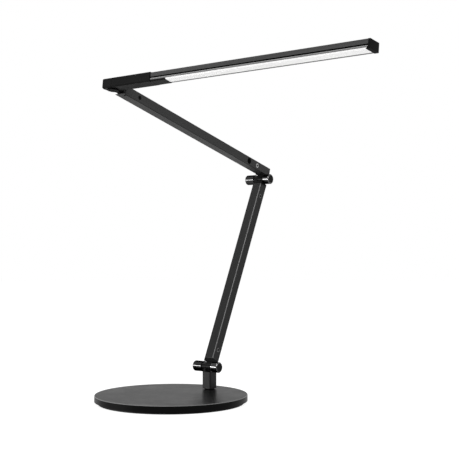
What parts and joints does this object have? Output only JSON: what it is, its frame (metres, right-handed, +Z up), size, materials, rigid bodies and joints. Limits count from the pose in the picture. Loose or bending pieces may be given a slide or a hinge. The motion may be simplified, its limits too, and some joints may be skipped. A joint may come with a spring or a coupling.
{
  "type": "desk lamp",
  "caption": "Black desk lamp with a round base, a turning post, folding square-tube arms on pinned hinges and a slim light bar that tilts and swivels at its end.",
  "frame": {"origin": "centre of the base's underside", "axes": "+Z up, +X along the hinge pins towards the free end of the light bar, +Y the way the lower arm leans"},
  "size_m": [0.4879, 0.3431, 0.4227],
  "materials": {
    "base_paint": "fine textured black powder coat",
    "cover_steel": "black sheet steel",
    "foot_rubber": "matt black rubber",
    "arm_black": "black anodised, satin",
    "lug_black": "black, satin",
    "cap_chrome": "dark polished chrome",
    "ring_chrome": "dark polished chrome",
    "disc_black": "satin black",
    "steel": "plain steel",
    "bush": "black sliding plastic",
    "screw_black": "black oxide",
    "screw_bright": "bright plated",
    "plug_black": "moulded black",
    "wire_sheath": "black sheath",
    "housing_black": "fine matt moulded",
    "bar_black": "black anodised, satin",
    "diffuser": "frosted white",
    "board_white": "white solder mask",
    "chip_yellow": "phosphor",
    "board_green": "green solder mask"
  },
  "bodies": {
    "base": {"base_plate": "base_paint", "base_cover": "cover_steel", "base_pad": "foot_rubber", "base_cover_screws": "screw_black", "power_jack": "plug_black", "swivel_bush": "bush", "swivel_stop_pin": "steel"},
    "post": {"post_tube": "arm_black", "swivel_stud": "steel", "swivel_stop_washer": "steel", "swivel_spring_washer": "steel", "swivel_nut": "steel", "post_grub_screws": "screw_black", "post_lug": "lug_black", "lower_hinge_shaft": "steel", "lower_hinge_springs": "steel", "lower_hinge_nut": "steel", "lower_hinge_cap": "cap_chrome", "lower_hinge_ring": "ring_chrome", "lower_hinge_disc": "disc_black"},
    "lower_arm": {"lower_arm_tube": "arm_black", "lower_arm_foot_lug": "lug_black", "lower_arm_top_lug": "lug_black", "lower_hinge_bush": "bush", "lower_arm_screws": "screw_black", "lower_arm_wire": "wire_sheath", "upper_hinge_shaft": "steel", "upper_hinge_springs": "steel", "upper_hinge_nut": "steel", "upper_hinge_cap": "cap_chrome", "upper_hinge_ring": "ring_chrome", "upper_hinge_disc": "disc_black"},
    "upper_arm": {"upper_arm_tube": "arm_black", "upper_arm_lug": "lug_black", "upper_hinge_bush": "bush", "upper_arm_lug_screw": "screw_bright", "arm_end_screw": "screw_black", "port_plug": "plug_black", "tail_plug": "plug_black", "arm_end_insert": "plug_black", "tilt_pin": "steel", "upper_arm_wire": "wire_sheath"},
    "neck": {"neck": "lug_black", "neck_washer": "steel", "neck_nut": "steel"},
    "head": {"neck_bush": "bush", "rear_cap": "housing_black", "head_housing": "housing_black", "housing_screws": "screw_black", "bar_profile": "bar_black", "bar_diffuser": "diffuser", "bar_mask": "housing_black", "led_board": "board_white", "led_chips": "chip_yellow", "driver_board": "board_green", "end_cap": "housing_black"}
  },
  "joints": [
    {"name": "base_swivel", "type": "hinge", "parent": "base", "child": "post", "pos_m": [0.0103, 0.07, 0.0115], "axis": [0, 0, 1], "range_deg": [-160, 160]},
    {"name": "lower_arm_tilt", "type": "hinge", "parent": "post", "child": "lower_arm", "pos_m": [0.0103, 0.07, 0.0427], "axis": [-1, 0, 0], "range_deg": [-40, 35]},
    {"name": "upper_arm_tilt", "type": "hinge", "parent": "lower_arm", "child": "upper_arm", "pos_m": [0.0103, 0.19507, 0.31538], "axis": [-1, 0, 0], "range_deg": [-37, 88]},
    {"name": "head_tilt", "type": "hinge", "parent": "upper_arm", "child": "neck", "pos_m": [0.0103, -0.10561, 0.40759], "axis": [-1, 0, 0], "range_deg": [-6, 15]},
    {"name": "head_swivel", "type": "hinge", "parent": "neck", "child": "head", "pos_m": [0.0103, -0.12371, 0.41026], "axis": [0, -0.1109, -0.9938], "range_deg": [-20, 200]}
  ]
}
